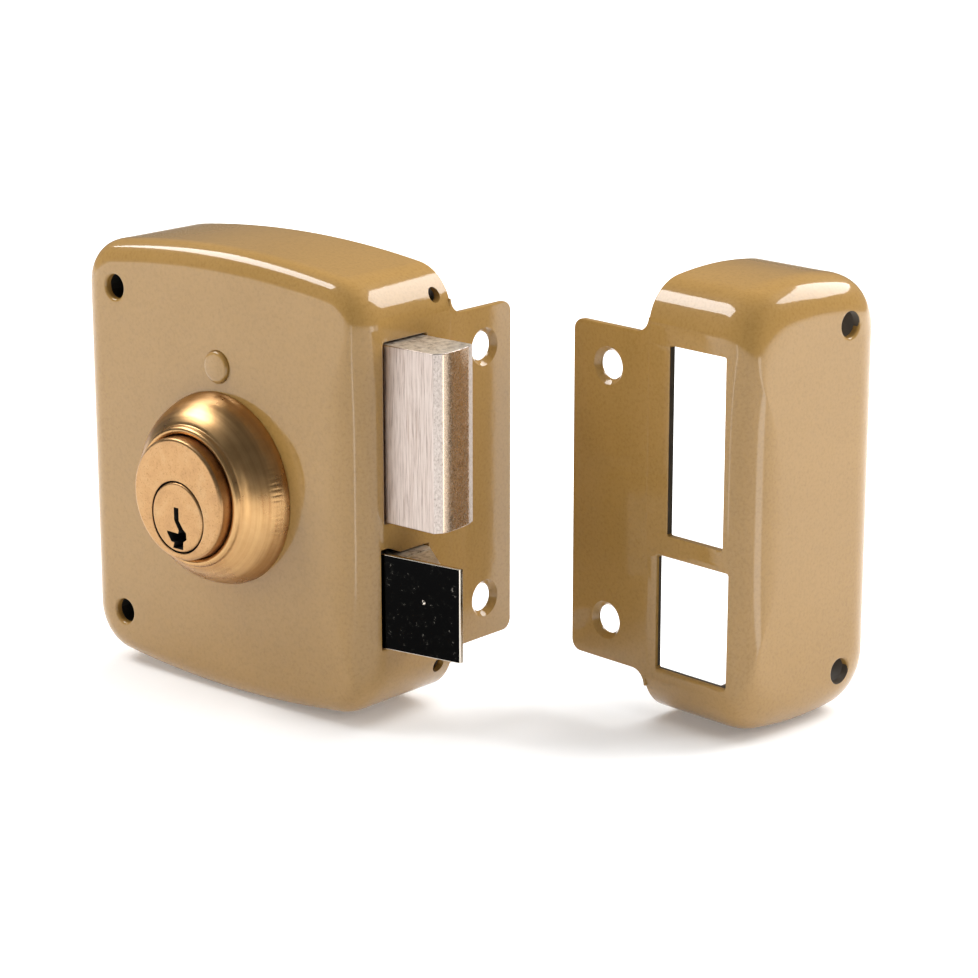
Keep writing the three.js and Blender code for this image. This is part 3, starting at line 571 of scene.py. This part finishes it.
def face_hole(x, depth, z, place):
    """Tool for the hole of a long fixing screw in a flat face at the given depth."""
    radius, flare = 2.65, 0.6
    return flared_hole("hole", (x, -depth, z), FORWARD, radius, flare, 5, place)


def countersunk_hole(name, y, z, side, place, radius=3.0, sink=3.97):
    """Tool for a countersunk hole through the flange; side is the direction of its mouth along X."""
    profile = [(radius, -3.0), (radius, radius - sink - 0.1), (radius + 0.12, radius - sink + 0.05),
               (sink - 0.1, -0.12), (sink + 0.08, 0.0), (sink + 0.08, 1.0)]
    return turned_solid(name, (0, y, z), (side, 0, 0), profile, place)


def rounded_rectangle(y0, y1, z0, z1, r):
    """An anticlockwise outline with four round corners."""
    corners = [(y1 - r, z1 - r, 0), (y0 + r, z1 - r, 90), (y0 + r, z0 + r, 180), (y1 - r, z0 + r, 270)]
    return [p for cy, cz, s in corners for p in arc(cy, cz, r, s, s + 90, 4)]


def grown(outline, distance):
    """An anticlockwise outline moved outward along its corner bisectors."""
    result = []
    previous, following = outline[-1:] + outline[:-1], outline[1:] + outline[:1]
    for (ax, ay), (bx, by), (cx, cy) in zip(previous, outline, following):
        before = Vector((by - ay, ax - bx)).normalized()
        after = Vector((cy - by, bx - cx)).normalized()
        shift = (before + after) * (distance / (1 + before.dot(after)))
        result.append((bx + shift.x, by + shift.y))
    return result


def window_tool(name, outline, side, place, lip=0.3, depth=3.0):
    """Tool for a window with an eased mouth in the bolt-side wall; outline is (y, z), anticlockwise."""
    levels = [(0.0, -depth), (0.0, -lip), (lip * 0.3, -lip * 0.3), (lip, 0.0), (lip, 1.0)]
    rings = [[(side * w, y, z) for y, z in grown(outline, g)] for g, w in levels]
    return ring_solid(name, rings, place)


def lock_case():
    """Cover of the lock with its flange, screw holes, seat of the cylinder and two windows."""
    place, depth, middle = LOCK_FRAME, LOCK["depth"], LOCK["middle"]
    shell = drawn_box("case_cover_fine", LOCK, place, False)
    outline = flange_outline(FLANGE["lock"], middle)
    boolean(shell, "UNION", prism("flange", outline, "x", -SHEET, 0, place, FLANGE["rim"]))
    tools = []
    for s in (-1, 1):
        z = middle + s * FACE_HOLE["lock_spacing"]
        tools.append(face_hole(FACE_HOLE["lock_x"], depth, z, place))
        z = middle + s * FLANGE_HOLE["spacing"]
        tools.append(countersunk_hole("hole", FLANGE_HOLE["lock"], z, 1, place))
    tools += [flared_hole("hole", (0, EAR_Y, z), (1, 0, 0), 1.55, 0.25, 5, place, 40) for z in EAR_Z]
    tools.append(flared_hole("hole", (CYL_X, -depth, CYL_Z), FORWARD, COVER_BORE, 0.3, 3, place))
    tools.append(flared_hole("hole", (CYL_X, -depth, PILLAR_Z), FORWARD, PILLAR_RADIUS, 0.35, 3, place))
    gap, top_gap, corner = BOLT_WINDOW["gap"], BOLT_WINDOW["top_gap"], BOLT_WINDOW["corner"]
    bolt_window = rounded_rectangle(BOLT["front"] - gap, BOLT["back"] + gap,
                                    BOLT["low"] - gap, BOLT["high"] + top_gap, corner)
    front, back = LATCH["front"] - LATCH_WINDOW["front_gap"], LATCH["back"] + LATCH_WINDOW["back_gap"]
    low, wedge_top = LATCH["low"] - LATCH_WINDOW["gap"], WEDGE["high"] + LATCH_WINDOW["gap"]
    plate_top = LATCH["high"] + LATCH_WINDOW["plate_gap"]
    step_front, step_back = LATCH_WINDOW["step"]
    latch_window = [(front, low), (back, low), (back, wedge_top), (step_back, wedge_top),
                    (step_front, plate_top), (front, plate_top)]
    tools.append(window_tool("bolt", bolt_window, 1, place))
    tools.append(window_tool("latch", latch_window, 1, place, 0.25))
    boolean(shell, "DIFFERENCE", *tools)
    return finish_piece(shell, "case", ENAMEL, ["case_cover"])


def keep_box():
    """The keep with its flange, screw holes and two windows, and its inner skin coloured dark
    brown-black.
    """
    place, depth = KEEP_FRAME, KEEP["depth"]
    shell = drawn_box("keep_shell_fine", KEEP, place, True)
    outline = flange_outline(FLANGE["keep"], KEEP["middle"])
    boolean(shell, "UNION", prism("flange", outline, "x", 0, SHEET, place, FLANGE["rim"]))
    tools = []
    for s in (-1, 1):
        z = FACE_HOLE["keep_middle"] + s * FACE_HOLE["keep_spacing"]
        tools.append(face_hole(FACE_HOLE["keep_x"], depth, z, place))
        z = KEEP["middle"] + s * FLANGE_HOLE["spacing"]
        tools.append(countersunk_hole("hole", FLANGE_HOLE["keep"], z, -1, place))
    for name, lip in (("bolt", 0.15), ("latch", 0.7)):
        window = rounded_rectangle(*KEEP_WINDOWS[name], KEEP_WINDOWS["corner"])
        tools.append(window_tool(name, window, -1, place, lip))
    boolean(shell, "DIFFERENCE", *tools)
    finish_piece(shell, "case", ENAMEL, ["keep_shell"])
    width, top, skin, rim = KEEP["width"], KEEP["top"], 1.2, 0.6
    middle = Vector((width / 2, -depth / 2 + 4, (top + FOOT) / 2))

    def within(centre, normal):
        """Faces of the inner skin look towards the middle of the box."""
        hollow = (skin < centre.x < width - skin and FOOT + skin < centre.z < top - skin
                  and centre.y < -rim)
        return hollow and normal.dot(middle - centre) > 0

    repaint(shell, INSIDE, place, within)
    return shell


# ---------------------------------------------------------------- cylinder


def rosette():
    """Cup with a milled band of fine radial marks near its rim."""
    front = -LOCK["depth"] - 0.1
    shoulder = [(20.3, 1.1), (19.4, 3.6), (18.2, 5.6), (16.9, 7.15), (15.7, 8.15), (15.1, 8.45)]
    profile = [(20.5, 0.0), (20.48, 0.35), shoulder[0]] + smooth_curve(shoulder, 6)
    profile += [(14.95, 8.6), (14.9, 8.9), (14.75, 9.3), (14.45, 9.62), (14.1, 9.75), (13.75, 9.68),
                (13.4, 9.45), (ROSETTE_BORE, 9.1), (ROSETTE_BORE, 0.0), (20.5, 0.0)]
    turned = [(r, front - h) for r, h in profile]

    def marks(radius, y, angle):
        """Shallow cuts between two heights, deepest half way and uneven round the ring."""
        height, low, high = front - y, 1.4, 4.0
        if not low < height < high or radius < 17:
            return 0.0, 0.0
        fade = math.sin(math.pi * (height - low) / (high - low)) * (0.6 + 0.4 * math.sin(3 * angle + 1))
        return -0.06 * fade * max(0.0, math.sin(110 * angle)) ** 3, 0.0

    return lathe("rosette", turned, CYL_X, CYL_Z, LOCK_FRAME, 660, marks)


def smooth_curve(points, steps):
    """Points of a Catmull-Rom curve through the given ones."""
    ends = [points[0]] + points + [points[-1]]
    result = []
    for around in zip(ends, ends[1:], ends[2:], ends[3:]):
        for i in range(steps):
            t = i / steps
            weights = (-t + 2 * t * t - t ** 3, 2 - 5 * t * t + 3 * t ** 3,
                       t + 4 * t * t - 3 * t ** 3, t ** 3 - t * t)
            result.append(tuple(0.5 * sum(w * p[k] for w, p in zip(weights, around)) for k in (0, 1)))
    return result[1:] + [points[-1]]


def rounded_edge(radius, front, easing, steps):
    """Profile points of the rounded front edge of a turned piece."""
    return [(radius - easing + easing * math.sin(a), front + easing * (1 - math.cos(a)))
            for a in np.linspace(0, math.pi / 2, steps)]


def cylinder_nose():
    """Round body of the cylinder, with the bore of its plug below the middle."""
    rear = -11.2
    profile = ([(0, FACE_Y)] + rounded_edge(NOSE_RADIUS, FACE_Y, 0.75, 8)
               + [(NOSE_RADIUS, rear), (0, rear)])
    nose = lathe("cylinder_nose", profile, CYL_X, CYL_Z, LOCK_FRAME, 160)
    bore = flared_hole("bore", (CYL_X, FACE_Y, PLUG_Z), FORWARD, PLUG_BORE, 0.15, 40, LOCK_FRAME, 128)
    boolean(nose, "DIFFERENCE", bore)
    return nose


# Outline of the keyway about the plug's axis.
KEYWAY = [(-0.9, 2.1), (0.5, 2.1), (0.5, -0.6), (1.7, -2.2), (2.6, -2.9), (2.7, -4.3), (1.7, -5.0),
          (1.6, -6.7), (-1.4, -6.7), (-1.0, -5.5), (-1.9, -5.4), (-3.1, -3.7), (-3.1, -3.3),
          (0.2, -3.4), (0.4, -2.7), (-0.5, -1.3), (-0.9, -0.6)]


def plug():
    """Plug with its keyway in front and a thinner tail behind."""
    front, rear, tail, tail_end = FACE_Y - 0.1, -10.9, 2.5, -2.0
    profile = ([(0, front)] + rounded_edge(PLUG_RADIUS, front, 0.45, 6)
               + [(PLUG_RADIUS, rear), (tail, rear), (tail, tail_end), (0, tail_end)])
    body = lathe("plug", profile, CYL_X, PLUG_Z, LOCK_FRAME, 128)
    outline = [(CYL_X + x, PLUG_Z + z) for x, z in KEYWAY]
    slot = prism("keyway", outline, "y", front - 1, front + 16, LOCK_FRAME)
    boolean(body, "DIFFERENCE", slot)
    return body


def cylinder():
    """Rosette, body and plug, with painted shade, near black, in the bore and the keyway."""
    finish_piece(rosette(), "case", BRASS, ["cylinder_rosette"], 40)
    nose = finish_piece(cylinder_nose(), "case", FACE_BRASS, ["cylinder_body"], 40)
    body = finish_piece(plug(), "plug", FACE_BRASS, ["cylinder_plug"], 40)

    def deep(centre, normal):
        off_axis = math.hypot(centre.x - CYL_X, centre.z - PLUG_Z)
        return centre.y > FACE_Y + 0.5 and abs(normal.y) < 0.5 and off_axis < PLUG_BORE + 0.1

    # Painted shade: faces deep in the bore and the keyway are coloured near black.
    repaint(nose, PAINTED_SHADE, LOCK_FRAME, deep)
    repaint(body, PAINTED_SHADE, LOCK_FRAME, deep)


def pillar_head():
    """Post through the case: painted head, neck in the cover, shaft, and the bore of its screw."""
    front, r, rear = -LOCK["depth"], PILLAR_RADIUS, -1.8
    profile = [(0, front - 0.8), (2.7, front - 0.78), (3.0, front - 0.72), (3.2, front - 0.58),
               (r, front - 0.35), (r, front + 0.2), (2.2, front + 0.2), (2.2, front + 1.8),
               (3.0, front + 1.8), (3.0, rear), (1.7, rear), (1.7, rear - 8.0), (0, rear - 8.0)]
    head = lathe("front_pillar_fine", profile, CYL_X, PILLAR_Z, LOCK_FRAME, 96)
    finish_piece(head, "case", ENAMEL, ["front_pillar"], 40)


# ---------------------------------------------------------------- bolts


def dead_bolt():
    """Head of the dead bolt: brushed sides, a smooth rounded end and ground edges beside it."""
    front, back, low, high = (BOLT[k] for k in ("front", "back", "low", "high"))
    proud, rear, (end_front, end_back) = BOLT["proud"], BOLT["rear"], BOLT["end"]
    end = smooth_curve([(14.05, end_front), (proud, -16.6), (14.1, -14.5), (13.85, -12.3),
                        (13.4, end_back)], 4)
    outline = [(rear, front), (12.9, front), (14.05, end_front)] + end + [(12.6, back), (rear, back)]
    head = prism("dead_bolt_fine", outline, "z", low, high, LOCK_FRAME, 0.22, 3)
    notch = box("notch", rear - 1.5, -14.5, front - 1, back + 1, low - 1, 59, LOCK_FRAME)
    boolean(head, "DIFFERENCE", notch)
    finish_piece(head, "dead_bolt", BRUSHED, ["dead_bolt_head"], 30)

    def at_end(centre):
        return end_front < centre.y < end_back

    repaint(head, WORN, LOCK_FRAME, lambda c, n: abs(n.z) > 0.9)
    repaint(head, END, LOCK_FRAME, lambda c, n: n.x > 0.9 and abs(n.z) < 0.4 and at_end(c))
    repaint(head, GROUND, LOCK_FRAME, lambda c, n: n.x > 0.5 and abs(n.z) < 0.8 and not at_end(c))


def latch_plate():
    """Polished face plate of the latch, bent at the window and drooping a little towards its tip."""
    front, low, high = LATCH["front"], LATCH["low"], LATCH["high"]
    proud, tip, thick = LATCH["proud"], LATCH["tip"], LATCH["thick"]
    sections = [(-8.0, -8.0, front, 0.0), (0.2, 0.1, front, 0.0), (0.7, 0.6, front + 0.05, 0.0),
                (proud, proud, tip, 0.4)]
    rings = [[(outer, y, low - droop / 3), (inner, y + thick, low - droop / 3),
              (inner, y + thick, high - droop), (outer, y, high - droop)]
             for outer, inner, y, droop in sections]
    plate = ring_solid("latch_plate_fine", rings, LOCK_FRAME)
    apply_modifier(plate, "BEVEL", width=0.16 * MM, segments=2, limit_method="ANGLE",
                   angle_limit=math.radians(40))
    pimple_x, pimple_z, pimple_radius = 9.4, 28.3, 0.62
    pimple_frame = LOCK_FRAME @ Matrix.Translation((pimple_x, front + 1.62, pimple_z))
    profile = [(0, -0.42), (0.3, -0.36), (0.5, -0.14), (pimple_radius, 0.3), (0, 0.3)]
    boolean(plate, "UNION", lathe("pimple", profile, 0, 0, pimple_frame, 24))
    finish_piece(plate, "latch", DUST_AND_PAINTED_REFLECTION, ["latch_face_plate"], 30)

    def bright(centre, normal):
        """The cut edges of the plate and the flanks of its pimple, which carry a painted highlight."""
        on_pimple = math.hypot(centre.x - pimple_x, centre.z - pimple_z) < pimple_radius
        return abs(normal.z) > 0.3 or normal.x > 0.5 or (on_pimple and normal.y > -0.97)

    repaint(plate, PAINTED_HIGHLIGHT, LOCK_FRAME, bright)


def latch_wedge():
    """Wedge behind the face plate, with a slit on top and the rod that draws it."""
    face_y, back, low, high = LATCH["front"] + 1.3, LATCH["back"], WEDGE["low"], WEDGE["high"]
    outline = [(-12.0, face_y), (0.4, face_y), (13.2, face_y + 2.2), (0.8, back), (-12.0, back)]
    wedge = prism("latch_wedge_fine", outline, "z", low, high, LOCK_FRAME, 0.25, 2)
    slit = box("slit", 1.9, 2.6, face_y - 1, back + 1, high - 1.6, high + 1, LOCK_FRAME)
    boolean(wedge, "DIFFERENCE", slit)
    rod = turned_solid("latch_rod", (-50, -17.3, 25), (1, 0, 0), [(1.8, 0), (1.8, 39)], LOCK_FRAME, 48)
    boolean(wedge, "UNION", rod)
    finish_piece(wedge, "latch", WORN, ["latch_head"], 30)


# ---------------------------------------------------------------- back plate


def back_plate():
    """Plate inside the open back, with two ears that take the screws of the bolt side."""
    inset = SHEET + 0.3
    outline = [(x - nx * inset, z - nz * inset) for x, z, nx, nz, _, _, _ in box_rings(LOCK)]
    plate = prism("back_plate_fine", outline, "y", -SHEET, 0, LOCK_FRAME, 0.25)
    ear_x = -inset - 2.7
    for z in EAR_Z:
        ear = box("ear", ear_x - SHEET, ear_x, -6.5, -0.5, z - 1.6, z + 1.6, LOCK_FRAME, 0.15)
        boolean(plate, "UNION", ear)
    tools = []
    for s in (-1, 1):
        start = (FACE_HOLE["lock_x"], 0, LOCK["middle"] + s * FACE_HOLE["lock_spacing"])
        tools.append(flared_hole("hole", start, BACKWARD, 2.9, 0.3, 3, LOCK_FRAME))
    tools.append(flared_hole("hole", (CYL_X, 0, PLUG_Z), BACKWARD, 7.0, 0.4, 3, LOCK_FRAME, 96))
    tools.append(turned_solid("sink", (CYL_X, 0, PILLAR_Z), BACKWARD,
                             [(1.6, -3), (1.6, -1.6), (3.3, 0.05), (3.3, 1)], LOCK_FRAME))
    tools += [turned_solid("post", (x, 0, z), BACKWARD, [(1.75, -3), (1.75, 1)], LOCK_FRAME, 40)
              for x, z in POSTS]
    tools += [turned_solid("screw", (ear_x, EAR_Y, z), (1, 0, 0), [(1.0, -4), (1.0, 1)], LOCK_FRAME, 24)
              for z in EAR_Z]
    boolean(plate, "DIFFERENCE", *tools)
    finish_piece(plate, "case", ZINC, ["back_plate"], 30)


# ---------------------------------------------------------------- studio


def area_light(name, place, target, size, radiance, spin=0.0, glossy=True, diffuse=True):
    """A soft box given by the brightness of its face, turned about its own axis by spin degrees."""
    light = bpy.data.lights.new(name, "AREA")
    light.shape = "RECTANGLE"
    light.size, light.size_y = size
    light.energy = radiance * math.pi * size[0] * size[1]
    obj = bpy.data.objects.new(name, light)
    obj.location = place
    obj.visible_glossy, obj.visible_diffuse, obj.visible_camera = glossy, diffuse, False
    aim = (Vector(place) - Vector(target)).to_track_quat("Z", "Y")
    obj.rotation_euler = (aim.to_matrix() @ Matrix.Rotation(math.radians(spin), 3, "Z")).to_euler()
    bpy.context.scene.collection.objects.link(obj)


def studio():
    """Soft boxes, two sheens that only reflections show, a pale floor and an even surround."""
    centre = Vector((0.0, 0.0, 0.06))
    area_light("box_left", (-0.66, -0.28, 0.80), centre, (0.60, 0.34), 9.5, 20)
    area_light("box_back", (0.34, 0.80, 0.68), centre, (0.66, 0.42), 7.0)
    area_light("overhead", (0.0, 0.1, 1.3), centre, (1.6, 1.6), 1.5, glossy=False)
    area_light("sheen_keep", (0.155, 0.012, 0.039), (0.06, 0.0, 0.05), (0.026, 0.072), 2.2,
               diffuse=False)
    area_light("sheen_lock", (0.034, -0.134, 0.039), (0.0, -0.02, 0.05), (0.009, 0.072), 2.6,
               diffuse=False)
    area_light("side_left", (-0.80, -0.70, 0.38), centre, (0.5, 0.5), 5.2, glossy=False)
    area_light("side_right", (0.90, 0.22, 0.50), centre, (0.4, 0.4), 5.0, glossy=False)
    area_light("backdrop_wash", (0.0, 1.6, 1.2), (0.0, 1.7, 0.0), (3.0, 1.4), 5.0, glossy=False)
    floor = prism("floor", [(-6, -4), (6, -4), (6, 8), (-6, 8)], "z", -0.02, -0.0002,
                  Matrix.Identity(4))
    n = Nodes("pale_floor", Roughness=0.7)
    n.shader.inputs["Specular IOR Level"].default_value = 0.2
    n.shader.inputs["Emission Color"].default_value = (1, 1, 1, 1)
    n.shader.inputs["Emission Strength"].default_value = 0.18
    shade = n.noise(3, 2)
    tone = n.ramp(shade, [(0.3, (0.86, 0.86, 0.86)), (0.7, (0.88, 0.88, 0.88))])
    floor.data.materials.append(n.set(Base_Color=tone))
    world = bpy.data.worlds.new("studio")
    world.use_nodes = True
    background = world.node_tree.nodes["Background"]
    background.inputs["Color"].default_value = (1, 1, 1, 1)
    background.inputs["Strength"].default_value = 0.15
    bpy.context.scene.world = world
    bpy.context.scene.view_settings.view_transform = "Standard"


def camera():
    """Camera with the place, turn and lens that fit the photo's outlines."""
    down, turn = 15.3675, 41.0088
    data = bpy.data.cameras.new("camera")
    data.sensor_width = 36.0
    data.lens = 111.65
    data.clip_start = 0.01
    obj = bpy.data.objects.new("camera", data)
    obj.location = LOCK_FRAME @ Vector((402.5, -451.3, 212.5))
    obj.rotation_euler = (math.radians(90 - down), 0, math.radians(turn))
    bpy.context.scene.collection.objects.link(obj)
    bpy.context.scene.camera = obj


lock_case()
keep_box()
cylinder()
pillar_head()
dead_bolt()
latch_plate()
latch_wedge()
back_plate()
studio()
camera()
